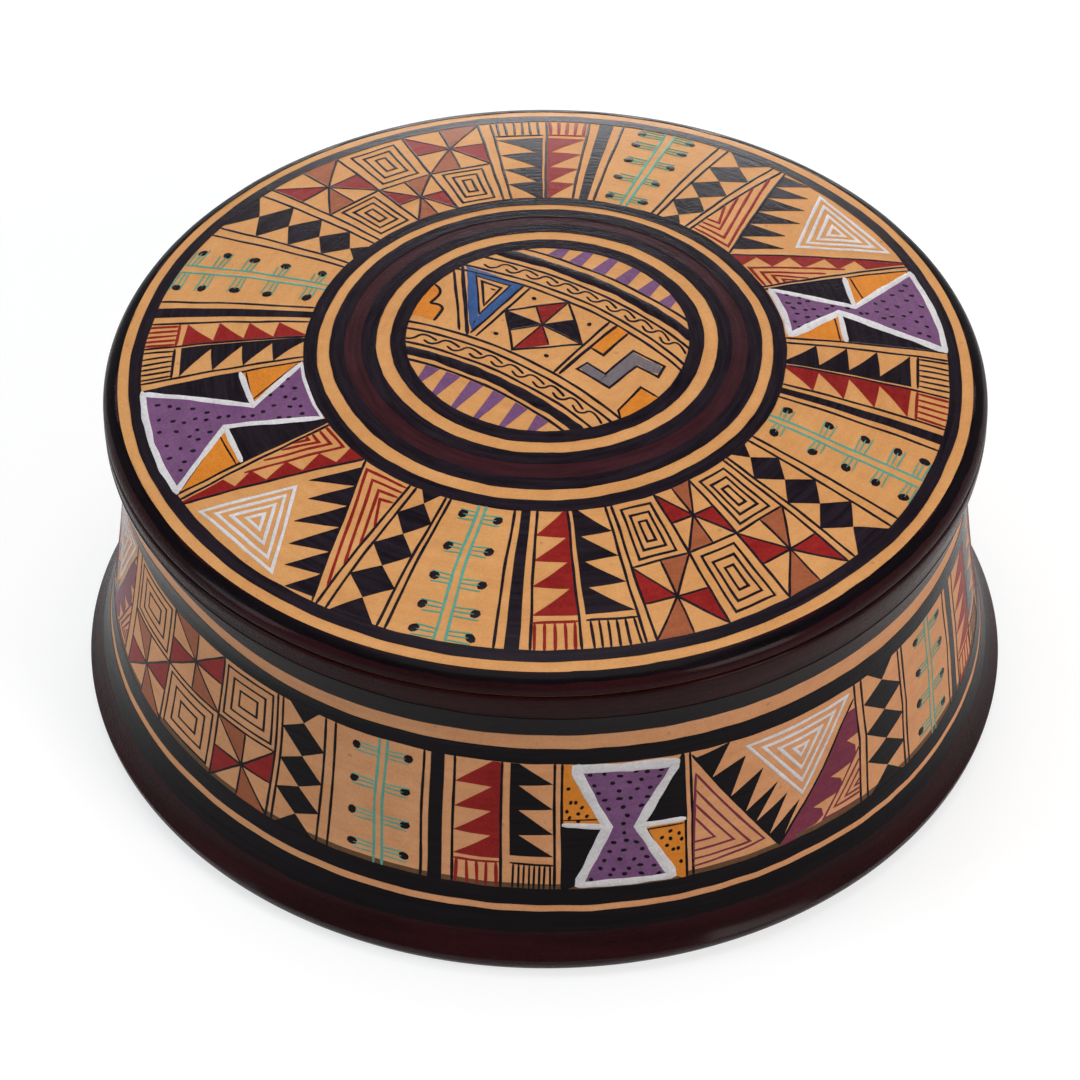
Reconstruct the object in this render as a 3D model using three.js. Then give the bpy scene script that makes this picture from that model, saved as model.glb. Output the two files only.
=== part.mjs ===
// Round ceramic trinket box with a lift-off domed lid.
// The box stands on the plane z = 0 with its axis on Z, and all sizes are in millimetres.
import * as THREE from "three";
import { mergeVertices } from "three/addons/utils/BufferGeometryUtils.js";

// Box body, outside: a rounded foot that sweeps out, a wall that narrows to a high waist, and a rounded rim.
const FOOT_RADIUS = 65;
const FOOT_EDGE_RADIUS = 3.3;
const WAIST_RADIUS = 58.7;
const WAIST_HEIGHT = 37;
const WALL_TAPER = 4;
const TAPER_POWER = 1.35;
const SWEEP_POWER = 10;
const RIM_RADIUS = 60.9;
const RIM_HEIGHT = 48.6;
const RIM_LIP_RADIUS = 0.5;

// Box body, inside: a straight chamber with a rounded corner over a solid floor.
const WALL = 4.6;
const FLOOR = 5.5;
const CHAMBER_CORNER_RADIUS = 6;

// Lid: a shallow dome with a rounded edge, and a ring beneath it that keeps it centred.
const SEAT_GAP = 0.3;
const LID_EDGE_HEIGHT = 2.6;
const LID_SHOULDER_INSET = 2.1;
const DOME_RISE = 7;
const LID_THICKNESS = 4.2;
const LOCATING_RING_WALL = 3.5;
const LOCATING_RING_DEPTH = 5;
const LOCATING_CLEARANCE = 0.8;

// How finely the turned surfaces are divided.
const SECTORS = 72;
const WALL_STEPS = 10;
const BEAD_STEPS = 6;
const ROUND_STEPS = 4;
const LIP_STEPS = 2;
const DOME_STEPS = 8;

const chamberRadius = WAIST_RADIUS - WALL;
const baseRadius = FOOT_RADIUS - FOOT_EDGE_RADIUS;
const lidSeatHeight = RIM_HEIGHT + SEAT_GAP;
const lidShoulderRadius = RIM_RADIUS - LID_SHOULDER_INSET;
const lidShoulderHeight = lidSeatHeight + LID_EDGE_HEIGHT;
const locatingOuterRadius = chamberRadius - LOCATING_CLEARANCE;
const locatingInnerRadius = locatingOuterRadius - LOCATING_RING_WALL;
const locatingBottom = lidSeatHeight - LOCATING_RING_DEPTH;

// Points along part of a circle, from one angle to another in degrees, both ends included.
function arc(radiusAt, heightAt, size, fromDegrees, toDegrees, steps) {
  const points = [];
  for (let i = 0; i <= steps; i++) {
    const turn = THREE.MathUtils.degToRad(THREE.MathUtils.lerp(fromDegrees, toDegrees, i / steps));
    points.push(new THREE.Vector2(radiusAt + size * Math.cos(turn), heightAt + size * Math.sin(turn)));
  }
  return points;
}

// Below the waist the wall widens evenly by its taper, and close to the foot it sweeps out the rest.
function wallRadius(height) {
  const share = (WAIST_HEIGHT - height) / (WAIST_HEIGHT - FOOT_EDGE_RADIUS);
  const sweep = FOOT_RADIUS - WAIST_RADIUS - WALL_TAPER;
  return WAIST_RADIUS + WALL_TAPER * Math.pow(share, TAPER_POWER) + sweep * Math.pow(share, SWEEP_POWER);
}

// The lid's top is part of a bowl turned upside down, highest on the axis.
function domeHeight(radius) {
  const share = radius / lidShoulderRadius;
  return lidShoulderHeight + DOME_RISE * (1 - share * share);
}

// A closed body of revolution from its half section, which starts and ends on the axis.
// Equal neighbours in the section are dropped, so that each ring of faces has some height.
function turned(section) {
  const clean = section.filter((point, i) => i === 0 || point.distanceTo(section[i - 1]) > 0.01);
  const shape = new THREE.LatheGeometry(clean, SECTORS);
  shape.rotateX(Math.PI / 2);
  shape.deleteAttribute("normal");
  shape.deleteAttribute("uv");
  const closed = mergeVertices(shape, 1e-4);
  closed.computeVertexNormals();
  return closed;
}

// Half section of the box body, from the middle of its base round the outside and back inside.
function bodySection() {
  const section = [new THREE.Vector2(0, 0)];
  section.push(...arc(baseRadius, FOOT_EDGE_RADIUS, FOOT_EDGE_RADIUS, -90, 0, ROUND_STEPS));
  for (let i = 1; i <= WALL_STEPS; i++) {
    const rise = Math.pow(i / WALL_STEPS, 1.5);
    const height = THREE.MathUtils.lerp(FOOT_EDGE_RADIUS, WAIST_HEIGHT, rise);
    section.push(new THREE.Vector2(wallRadius(height), height));
  }
  const lipHeight = RIM_HEIGHT - RIM_LIP_RADIUS;
  const reach = (lipHeight - WAIST_HEIGHT) / 3;
  const bead = new THREE.CubicBezierCurve(
    new THREE.Vector2(WAIST_RADIUS, WAIST_HEIGHT),
    new THREE.Vector2(WAIST_RADIUS, WAIST_HEIGHT + reach),
    new THREE.Vector2(RIM_RADIUS, lipHeight - reach),
    new THREE.Vector2(RIM_RADIUS, lipHeight),
  );
  section.push(...bead.getPoints(BEAD_STEPS).slice(1));
  section.push(...arc(RIM_RADIUS - RIM_LIP_RADIUS, lipHeight, RIM_LIP_RADIUS, 0, 90, LIP_STEPS));
  section.push(...arc(chamberRadius + RIM_LIP_RADIUS, lipHeight, RIM_LIP_RADIUS, 90, 180, LIP_STEPS));
  const cornerRadius = chamberRadius - CHAMBER_CORNER_RADIUS;
  const cornerHeight = FLOOR + CHAMBER_CORNER_RADIUS;
  section.push(...arc(cornerRadius, cornerHeight, CHAMBER_CORNER_RADIUS, 0, -90, ROUND_STEPS));
  section.push(new THREE.Vector2(0, FLOOR));
  return section;
}

// Half section of the lid, from the middle of its underside round the ring and edge to the dome's top.
function lidSection() {
  const underside = (radius) => domeHeight(radius) - LID_THICKNESS;
  const section = [];
  for (let i = 0; i <= DOME_STEPS; i++) {
    const radius = (locatingInnerRadius * i) / DOME_STEPS;
    section.push(new THREE.Vector2(radius, underside(radius)));
  }
  const lip = RIM_LIP_RADIUS;
  section.push(...arc(locatingInnerRadius + lip, locatingBottom + lip, lip, 180, 270, LIP_STEPS));
  section.push(...arc(locatingOuterRadius - lip, locatingBottom + lip, lip, -90, 0, LIP_STEPS));
  section.push(new THREE.Vector2(locatingOuterRadius, lidSeatHeight));
  section.push(...arc(RIM_RADIUS - lip, lidSeatHeight + lip, lip, -90, 0, LIP_STEPS));
  const edgeReach = lidShoulderRadius + LID_SHOULDER_INSET / 2;
  const edge = new THREE.CubicBezierCurve(
    new THREE.Vector2(RIM_RADIUS, lidSeatHeight + lip),
    new THREE.Vector2(RIM_RADIUS, lidSeatHeight + lip + (LID_EDGE_HEIGHT - lip) / 2),
    new THREE.Vector2(edgeReach, domeHeight(edgeReach)),
    new THREE.Vector2(lidShoulderRadius, lidShoulderHeight),
  );
  section.push(...edge.getPoints(BEAD_STEPS).slice(1));
  for (let i = DOME_STEPS - 1; i >= 0; i--) {
    const radius = (lidShoulderRadius * i) / DOME_STEPS;
    section.push(new THREE.Vector2(radius, domeHeight(radius)));
  }
  return section;
}

const paintedMaroon = new THREE.MeshStandardMaterial({ color: 0x3a1d20, roughness: 0.38, metalness: 0 });
const paintedCream = new THREE.MeshStandardMaterial({ color: 0xc98f5c, roughness: 0.42, metalness: 0 });

const boxBody = new THREE.Mesh(turned(bodySection()), paintedMaroon);
boxBody.name = "box_body";

const lid = new THREE.Mesh(turned(lidSection()), paintedCream);
lid.name = "lid";

const trinketBox = new THREE.Group();
trinketBox.add(boxBody, lid);

export default trinketBox;
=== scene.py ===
# Round ceramic trinket box with a lift-off domed lid, painted with coloured slips and varnished.
# It stands on z = 0 with its axis on Z. Sizes below are in millimetres and meshes are in metres.
import math
import bpy
import numpy as np
from mathutils import Matrix, Vector


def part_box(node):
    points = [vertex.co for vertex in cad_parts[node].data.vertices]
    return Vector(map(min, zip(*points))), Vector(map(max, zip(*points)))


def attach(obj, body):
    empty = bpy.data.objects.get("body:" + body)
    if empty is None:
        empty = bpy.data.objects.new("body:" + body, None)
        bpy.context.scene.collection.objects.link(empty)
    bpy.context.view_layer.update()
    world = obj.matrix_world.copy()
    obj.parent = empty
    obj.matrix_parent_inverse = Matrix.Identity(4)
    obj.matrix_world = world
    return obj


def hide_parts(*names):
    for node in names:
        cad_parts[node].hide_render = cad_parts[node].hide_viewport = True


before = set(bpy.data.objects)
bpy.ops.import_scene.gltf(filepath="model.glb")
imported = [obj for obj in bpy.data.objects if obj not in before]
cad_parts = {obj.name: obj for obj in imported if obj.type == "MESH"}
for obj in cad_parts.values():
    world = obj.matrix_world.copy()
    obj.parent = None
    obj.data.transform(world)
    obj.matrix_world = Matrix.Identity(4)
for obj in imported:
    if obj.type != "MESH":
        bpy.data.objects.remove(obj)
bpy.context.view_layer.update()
MM = 0.001

# Camera: a long lens in front of the box and well above it, a little off the axis of the lid.
# The aim is the middle of the lid's edge plane, which lies right of and above the picture's middle.
LOOK_DOWN = math.radians(42.46)
CAMERA_ROLL = math.radians(-0.15)
CAMERA_REACH = 747.1
AIM_HEIGHT = 51.5
AIM_RIGHT_OF_MIDDLE = 0.75
AIM_ABOVE_MIDDLE = 22.58
LENS_LENGTH = 180.95
SENSOR_WIDTH = 36

backwards = Vector((0, -math.cos(LOOK_DOWN), math.sin(LOOK_DOWN)))
level_right = Vector((1, 0, 0))
level_up = backwards.cross(level_right)
camera_right = level_right * math.cos(CAMERA_ROLL) - level_up * math.sin(CAMERA_ROLL)
camera_up = level_right * math.sin(CAMERA_ROLL) + level_up * math.cos(CAMERA_ROLL)
camera_place = Vector((0, 0, AIM_HEIGHT)) + backwards * CAMERA_REACH
camera_place -= camera_right * AIM_RIGHT_OF_MIDDLE + camera_up * AIM_ABOVE_MIDDLE

camera = bpy.data.objects.new("camera", bpy.data.cameras.new("camera"))
bpy.context.scene.collection.objects.link(camera)
turn = Matrix((camera_right, camera_up, backwards)).transposed().to_4x4()
camera.matrix_world = Matrix.Translation(camera_place * MM) @ turn
camera.data.lens = LENS_LENGTH
camera.data.sensor_width = SENSOR_WIDTH
camera.data.clip_start = 0.05
bpy.context.scene.camera = camera
bpy.context.scene.view_settings.view_transform = "Standard"

# Studio: a white table in a grey room, brighter at the back than behind the camera, with four soft lamps:
# overhead, right of the camera, at the left, and low behind the box. Where the camera or a reflection
# sees the table it glows, so that it looks white, and it keeps the shadow of the box.
TABLE_HALF_WIDTH = 3000
TABLE_TONE = 0.44
TABLE_GLOW = 0.66
ROOM_FRONT = 0.12
ROOM_BACK = 0.5
# Each lamp: its bearing and height in degrees, how far away it is, its width and depth, brightness and tint.
lamps = [
    ("lamp_above", 90, 88, 1500, 1000, 1000, 2.4, (1, 1, 1)),
    ("lamp_right", -42, 30, 1300, 500, 500, 9.5, (1, 0.98, 0.96)),
    ("lamp_left", -166, 28, 1300, 500, 500, 7.0, (0.8, 0.92, 1)),
    ("lamp_behind", 88, 6, 1400, 640, 420, 13.0, (0.97, 0.98, 1)),
]


def wire(tree, node, inputs):
    """Each input, by its name or its number, is linked to the socket or set to the value given for it."""
    for key, given in inputs.items():
        if isinstance(given, bpy.types.NodeSocket):
            tree.links.new(given, node.inputs[key])
        else:
            node.inputs[key].default_value = given
    return node


def wired(tree, kind, inputs, **settings):
    """A new node of that kind with its settings made and its inputs wired."""
    node = tree.nodes.new(kind)
    for name, setting in settings.items():
        setattr(node, name, setting)
    return wire(tree, node, inputs)


def reckon(tree, operation, first, second):
    """The output of a Math node on two inputs, each a socket or a number."""
    return wired(tree, "ShaderNodeMath", {0: first, 1: second}, operation=operation).outputs[0]


def seen_directly(tree):
    """Mask: 1 for camera, glossy and transmission rays, and 0 for the rays that light the box."""
    path = tree.nodes.new("ShaderNodeLightPath")
    mask = path.outputs["Is Camera Ray"]
    for other in ("Is Glossy Ray", "Is Transmission Ray"):
        mask = reckon(tree, "MAXIMUM", mask, path.outputs[other])
    return mask


def empty_tree(owner):
    """The node tree of a material or a world, with no nodes in it."""
    owner.use_nodes = True
    owner.node_tree.nodes.clear()
    return owner.node_tree


table_material = bpy.data.materials.new("white_table")
tree = empty_tree(table_material)
matte = wired(tree, "ShaderNodeBsdfDiffuse", {"Color": (TABLE_TONE, TABLE_TONE, TABLE_TONE, 1)})
strength = reckon(tree, "MULTIPLY", seen_directly(tree), TABLE_GLOW)
glow = wired(tree, "ShaderNodeEmission", {"Strength": strength})
both = wired(tree, "ShaderNodeAddShader", {0: matte.outputs[0], 1: glow.outputs[0]})
wired(tree, "ShaderNodeOutputMaterial", {"Surface": both.outputs[0]})

half = TABLE_HALF_WIDTH * MM
table_mesh = bpy.data.meshes.new("table_top")
corners = [(-half, -half, 0), (half, -half, 0), (half, half, 0), (-half, half, 0)]
table_mesh.from_pydata(corners, [], [(0, 1, 2, 3)])
table_mesh.materials.append(table_material)
table = bpy.data.objects.new("table_top", table_mesh)
bpy.context.scene.collection.objects.link(table)

for name, bearing, height, reach, width, depth, brightness, tint in lamps:
    lamp = bpy.data.objects.new(name, bpy.data.lights.new(name, "AREA"))
    bpy.context.scene.collection.objects.link(lamp)
    lamp.data.shape = "RECTANGLE"
    lamp.data.size = width * MM
    lamp.data.size_y = depth * MM
    lamp.data.energy = brightness * math.pi * width * depth * MM ** 2
    lamp.data.color = tint
    lamp.visible_camera = False
    bearing, height = math.radians(bearing), math.radians(height)
    level = math.cos(height)
    away = Vector((math.cos(bearing) * level, math.sin(bearing) * level, math.sin(height)))
    aim = away.to_track_quat("Z", "Y").to_matrix().to_4x4()
    lamp.matrix_world = Matrix.Translation(away * reach * MM) @ aim

room = bpy.data.worlds.new("grey_room")
bpy.context.scene.world = room
tree = empty_tree(room)
outward = tree.nodes.new("ShaderNodeTexCoord").outputs["Generated"]
direction = wired(tree, "ShaderNodeSeparateXYZ", {0: outward})
shade = wired(tree, "ShaderNodeMapRange", {
    "Value": direction.outputs["Y"], "From Min": -1, "From Max": 1,
    "To Min": ROOM_FRONT, "To Max": ROOM_BACK,
})
air = wired(tree, "ShaderNodeBackground", {"Strength": shade.outputs[0]})
wired(tree, "ShaderNodeOutputWorld", {"Surface": air.outputs[0]})

# Box body: one piece of fired clay turned on the wheel, with a rounded foot that sweeps out, a wall that
# narrows to a high waist, and a rounded rim. Below the waist the wall widens evenly by its taper, and close
# to the foot it sweeps out the rest. Outside it has maroon slip; inside and beneath it is bare clay.
FOOT_EDGE = 3.3
WAIST_RADIUS = 58.7
WAIST_HEIGHT = 37
WALL_TAPER = 4
TAPER_POWER = 1.35
SWEEP_POWER = 10
LIP = 0.5
WALL = 4.6
FLOOR = 5.5
CHAMBER_CORNER = 6
SECTORS = 360
FOOT_STEPS = 14
WALL_STEPS = 48
BEAD_STEPS = 24
LIP_STEPS = 5
CLAY_SHARP_ANGLE = math.radians(38)
foot_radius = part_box("box_body")[1].x / MM
rim_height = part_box("box_body")[1].z / MM
rim_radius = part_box("lid")[1].x / MM
chamber_radius = WAIST_RADIUS - WALL


def colour(red, green, blue):
    """A display colour, 0 to 255 a channel, as the light that it stands for: the 2.4 power curve."""
    shown = np.array([red, green, blue]) / 255
    light = np.where(shown > 0.04045, ((shown + 0.055) / 1.055) ** 2.4, shown / 12.92)
    return (*light, 1)


def arc(radius_at, height_at, size, start, end, steps):
    """Part of a circle: centre plus size times the cosine and sine of evenly spaced angles, in degrees."""
    angle = np.radians(np.linspace(start, end, steps + 1))
    return np.stack([radius_at + size * np.cos(angle), height_at + size * np.sin(angle)], 1)


def bezier(points, steps):
    """Cubic curve: the four points weighted by (1-t)^3, 3t(1-t)^2, 3t^2(1-t) and t^3."""
    t = np.linspace(0, 1, steps + 1)[:, None]
    a, b, c, d = np.array(points, float)
    return (1 - t) ** 3 * a + 3 * t * (1 - t) ** 2 * b + 3 * t ** 2 * (1 - t) * c + t ** 3 * d


def straight(start, end, steps):
    """Evenly spaced points from start to end, without either end."""
    t = np.linspace(0, 1, steps + 1)[1:-1, None]
    return np.array(start) * (1 - t) + np.array(end) * t


def turned(name, profile, finishes):
    """A body turned on the axis: each point (radius, height) of the half profile is carried round as
    (r cos a, r sin a, z), and the first and last points, on the axis, become single poles.
    finishes is a list of (material, how many rings of faces it covers), from the first ring on."""
    angle = np.arange(SECTORS) * 2 * np.pi / SECTORS
    radius, height = profile[1:-1, 0][:, None], profile[1:-1, 1][:, None]
    rings = np.stack([radius * np.cos(angle), radius * np.sin(angle), height + 0 * angle], 2)
    poles = np.array([[0, 0, profile[0, 1]], [0, 0, profile[-1, 1]]])
    vertices = np.concatenate([poles, rings.reshape(-1, 3)]) * MM
    here = 2 + np.arange(SECTORS) + SECTORS * np.arange(len(rings))[:, None]
    ahead = np.roll(here, -1, axis=1)
    walls = np.stack([here[:-1], ahead[:-1], ahead[1:], here[1:]], 2).reshape(-1, 4)
    first = np.stack([0 * here[0], ahead[0], here[0]], 1)
    last = np.stack([0 * here[0] + 1, here[-1], ahead[-1]], 1)
    mesh = bpy.data.meshes.new(name)
    mesh.from_pydata(vertices.tolist(), [], first.tolist() + walls.tolist() + last.tolist())
    spread = np.concatenate([np.full(count * SECTORS, i) for i, (_, count) in enumerate(finishes)])
    for material, _ in finishes:
        mesh.materials.append(material)
    mesh.polygons.foreach_set("material_index", spread)
    mesh.shade_smooth()
    mesh.set_sharp_from_angle(angle=CLAY_SHARP_ANGLE)
    piece = bpy.data.objects.new(name, mesh)
    bpy.context.scene.collection.objects.link(piece)
    return piece


def new_effect(name, inputs, outputs):
    """An empty shader group with named number inputs and outputs, and its Object coordinates."""
    group = bpy.data.node_groups.new(name, "ShaderNodeTree")
    for socket, start in inputs:
        number = group.interface.new_socket(socket, in_out="INPUT", socket_type="NodeSocketFloat")
        number.default_value = start
    for socket in outputs:
        group.interface.new_socket(socket, in_out="OUTPUT", socket_type="NodeSocketFloat")
    given = group.nodes.new("NodeGroupInput").outputs
    place = group.nodes.new("ShaderNodeTexCoord").outputs["Object"]
    return group, given, place


def noise(tree, vector, scale, detail, roughness):
    """A Noise Texture read at a vector; scale is a socket or a number of waves a metre."""
    inputs = {"Vector": vector, "Scale": scale, "Detail": detail, "Roughness": roughness}
    return wired(tree, "ShaderNodeTexNoise", inputs).outputs["Fac"]


def blend(tree, *parts):
    """The sum of the sockets given, each times its own weight."""
    weighted = [reckon(tree, "MULTIPLY", socket, weight) for socket, weight in parts]
    total = weighted[0]
    for part in weighted[1:]:
        total = reckon(tree, "ADD", total, part)
    return total


# Sandy grain: cloudy tone, fine sand and sparse dark specks, as slip dries on fired clay.
sandy_grain, given, place = new_effect(
    "sandy_grain", [("Grains a Metre", 2600.0), ("Specks", 0.0)], ["Tone", "Speck", "Height"]
)
sand = noise(sandy_grain, place, given["Grains a Metre"], 4, 0.62)
cloud = noise(sandy_grain, place, 85.0, 3, 0.5)
blotch = noise(sandy_grain, place, 420.0, 3, 0.55)
cells = wired(sandy_grain, "ShaderNodeTexVoronoi", {"Vector": place, "Scale": 330.0})
near = wired(sandy_grain, "ShaderNodeMapRange", {
    "Value": cells.outputs["Distance"], "From Min": 0.13, "From Max": 0.05,
})
chosen = reckon(sandy_grain, "LESS_THAN", cells.outputs["Color"], 0.45)
speck = reckon(sandy_grain, "MULTIPLY", near.outputs[0], chosen)
wired(sandy_grain, "NodeGroupOutput", {
    "Tone": blend(sandy_grain, (sand, 0.45), (cloud, 0.3), (blotch, 0.25)),
    "Speck": reckon(sandy_grain, "MULTIPLY", speck, given["Specks"]),
    "Height": blend(sandy_grain, (sand, 1), (blotch, 0.6)),
})

# Turning marks: streaks that run round the axis, left by the brush while the box turns on the wheel.
# The noise reads the direction round the axis slowly, and radius plus height quickly.
turning_marks, given, place = new_effect(
    "turning_marks", [("Streaks a Metre", 1500.0), ("Turns", 3.0)], ["Streak", "Height"]
)


def vector_math(operation, inputs):
    """A Vector Math node of the turning marks."""
    return wired(turning_marks, "ShaderNodeVectorMath", inputs, operation=operation)


parts = wired(turning_marks, "ShaderNodeSeparateXYZ", {0: place}).outputs
flat = wired(turning_marks, "ShaderNodeCombineXYZ", {"X": parts["X"], "Y": parts["Y"]}).outputs[0]
away = vector_math("NORMALIZE", {0: flat}).outputs[0]
around = vector_math("SCALE", {0: away, "Scale": given["Turns"]}).outputs[0]
climb = reckon(turning_marks, "ADD", vector_math("LENGTH", {0: flat}).outputs["Value"], parts["Z"])
climb = reckon(turning_marks, "MULTIPLY", climb, given["Streaks a Metre"])
sides = wired(turning_marks, "ShaderNodeSeparateXYZ", {0: around}).outputs
path = wired(turning_marks, "ShaderNodeCombineXYZ", {"X": sides["X"], "Y": sides["Y"], "Z": climb})
streak = noise(turning_marks, path.outputs[0], 1.0, 4, 0.6)
wired(turning_marks, "NodeGroupOutput", {"Streak": streak, "Height": streak})

SPECK_DEPTH = 0.35
VARNISH_ROUGHNESS = 0.14
TONE_RANGE = (0.36, 0.62)


def slip(name, deep, bright, grain=2600.0, grain_share=0.5, streaks=1500.0, rough=(0.3, 0.42),
         relief=0.00006, specks=0.0, gloss=0.025, varnish=0.07):
    """A coloured slip under varnish, a thin clear coat: sand and brush streaks mix the deep colour into the
    bright one, and the same two roughen it. Specks are the deep colour times the speck depth."""
    material = bpy.data.materials.new(name)
    material.use_nodes = True
    tree = material.node_tree
    grains = {"Grains a Metre": grain, "Specks": specks}
    sand = wired(tree, "ShaderNodeGroup", grains, node_tree=sandy_grain).outputs
    brush = wired(tree, "ShaderNodeGroup", {"Streaks a Metre": streaks}, node_tree=turning_marks).outputs
    mix = blend(tree, (sand["Tone"], grain_share), (brush["Streak"], 1 - grain_share))
    ramp = wired(tree, "ShaderNodeValToRGB", {"Fac": mix})
    for end, position, shade in zip(ramp.color_ramp.elements, TONE_RANGE, (deep, bright)):
        end.position = position
        end.color = shade
    speckled = wired(tree, "ShaderNodeMix", {
        "Factor": sand["Speck"],
        "A": ramp.outputs["Color"],
        "B": tuple(SPECK_DEPTH * channel for channel in deep[:3]) + (1,),
    }, data_type="RGBA")
    roughness = wired(tree, "ShaderNodeMapRange", {
        "Value": mix, "From Min": 0.3, "From Max": 0.7, "To Min": rough[0], "To Max": rough[1],
    })
    height = reckon(tree, "ADD", sand["Height"], brush["Height"])
    bump = wired(tree, "ShaderNodeBump", {"Distance": relief, "Height": height})
    wire(tree, tree.nodes["Principled BSDF"], {
        "Base Color": speckled.outputs["Result"],
        "Roughness": roughness.outputs[0],
        "Normal": bump.outputs["Normal"],
        "Specular IOR Level": gloss,
        "Coat Weight": varnish,
        "Coat Roughness": VARNISH_ROUGHNESS,
    })
    return material


maroon_slip = slip(
    "maroon_slip", colour(30, 8, 10), colour(50, 16, 20), grain_share=0.35, streaks=1100.0, relief=0.0003,
    rough=(0.15, 0.28), gloss=0.03, varnish=0.08,
)
bare_clay = slip(
    "bare_clay", colour(128, 66, 42), colour(160, 88, 56), specks=0.8, rough=(0.7, 0.85), varnish=0.0,
)

wall_height = np.linspace(FOOT_EDGE, WAIST_HEIGHT, WALL_STEPS + 1)[1:]
wall_share = (WAIST_HEIGHT - wall_height) / (WAIST_HEIGHT - FOOT_EDGE)
sweep = foot_radius - WAIST_RADIUS - WALL_TAPER
wall_radius = WAIST_RADIUS + WALL_TAPER * wall_share ** TAPER_POWER + sweep * wall_share ** SWEEP_POWER
lip_height = rim_height - LIP
bead_reach = (lip_height - WAIST_HEIGHT) / 3
beneath = np.concatenate([[[0, 0]], straight((0, 0), (foot_radius - FOOT_EDGE, 0), 12)])
outside = np.concatenate([
    arc(foot_radius - FOOT_EDGE, FOOT_EDGE, FOOT_EDGE, -90, 0, FOOT_STEPS),
    np.stack([wall_radius, wall_height], 1),
    bezier([
        (WAIST_RADIUS, WAIST_HEIGHT),
        (WAIST_RADIUS, WAIST_HEIGHT + bead_reach),
        (rim_radius, lip_height - bead_reach),
        (rim_radius, lip_height),
    ], BEAD_STEPS)[1:],
    arc(rim_radius - LIP, lip_height, LIP, 0, 90, LIP_STEPS)[1:],
])
inside = np.concatenate([
    arc(chamber_radius + LIP, lip_height, LIP, 90, 180, LIP_STEPS),
    straight((chamber_radius, lip_height), (chamber_radius, FLOOR + CHAMBER_CORNER), 18),
    arc(chamber_radius - CHAMBER_CORNER, FLOOR + CHAMBER_CORNER, CHAMBER_CORNER, 0, -90, 12),
    straight((chamber_radius - CHAMBER_CORNER, FLOOR), (0, FLOOR), 12),
    [[0, FLOOR]],
])
box_skin = turned(
    "box_body_clay",
    np.concatenate([beneath, outside, inside]),
    [(bare_clay, len(beneath)), (maroon_slip, len(outside) - 1), (bare_clay, len(inside))],
)
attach(box_skin, "box")
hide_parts("box_body")

# Lid: one piece of fired clay, a shallow dome with a rounded edge and a ring beneath that centres it.
# Cream slip covers the top, maroon slip the side, and the underside is bare clay.
LID_SEAT = 48.9
LID_SHOULDER_INSET = 2.1
LID_SHOULDER_HEIGHT = 51.5
LID_THICKNESS = 4.2
RING_WALL = 3.5
RING_BOTTOM = 43.9
RING_CLEARANCE = 0.8
lid_shoulder = rim_radius - LID_SHOULDER_INSET
dome_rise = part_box("lid")[1].z / MM - LID_SHOULDER_HEIGHT
ring_outside = chamber_radius - RING_CLEARANCE
ring_inside = ring_outside - RING_WALL


def dome(radius):
    """Height of the lid's top: its shoulder's, plus the rise times one less the radius share squared."""
    return LID_SHOULDER_HEIGHT + dome_rise * (1 - (radius / lid_shoulder) ** 2)


CREAM_TEXTURE = {
    "grain": 3000.0, "grain_share": 0.75, "streaks": 900.0, "specks": 0.35, "rough": (0.36, 0.5),
    "relief": 0.00005,
}
cream_slip = slip("cream_slip", colour(206, 142, 84), colour(228, 167, 107), **CREAM_TEXTURE)
hollow = np.linspace(0, ring_inside, 25)
edge_reach = lid_shoulder + LID_SHOULDER_INSET / 2
lid_edge = np.concatenate([
    arc(rim_radius - LIP, LID_SEAT + LIP, LIP, -90, 0, LIP_STEPS),
    bezier([
        (rim_radius, LID_SEAT + LIP),
        (rim_radius, (LID_SEAT + LIP + LID_SHOULDER_HEIGHT) / 2),
        (edge_reach, dome(edge_reach)),
        (lid_shoulder, LID_SHOULDER_HEIGHT),
    ], 16)[1:],
])
under_lid = np.concatenate([
    np.stack([hollow, dome(hollow) - LID_THICKNESS], 1),
    arc(ring_inside + LIP, RING_BOTTOM + LIP, LIP, 180, 270, LIP_STEPS),
    arc(ring_outside - LIP, RING_BOTTOM + LIP, LIP, -90, 0, LIP_STEPS),
    [[ring_outside, LID_SEAT]],
])
over = np.linspace(lid_shoulder, 0, 61)[1:]
lid_top = np.stack([over, dome(over)], 1)
lid_skin = turned(
    "lid_clay",
    np.concatenate([under_lid, lid_edge, lid_top]),
    [(bare_clay, len(under_lid)), (maroon_slip, len(lid_edge) - 1), (cream_slip, len(lid_top))],
)
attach(lid_skin, "lid")
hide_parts("lid")

# Paint: slips brushed on by hand in thin coats, each lying a few hundredths of a millimetre proud.
# A drawing is laid out flat, in mm, and then laid on the lid's top, on its edge or on the wall.
HIDDEN = 0.04
STATION = 0.8
BLUNT_END = 0.5
RING_STATIONS = 300
RING_WANDER = 0.012
PAINT_SHARP_ANGLE = math.radians(35)
WALL_PLAN_RADIUS = WAIST_RADIUS
COAT = {
    "ground": 0.02, "stain": 0.032, "fill": 0.045, "line": 0.07, "band": 0.075, "dot": 0.09, "fine": 0.105,
    "white": 0.12,
}
DRIFT_LENGTHS = np.array([4.5, 3.4, 2.6, 1.9, 1.4])
DRIFT = np.array([0.06, 0.05, 0.035, 0.025, 0.02])
hand = np.random.default_rng(11)
drift_waves = hand.normal(size=(2, 5, 3)) / DRIFT_LENGTHS[:, None]
drift_phases = hand.uniform(0, 2 * np.pi, (2, 5))


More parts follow.
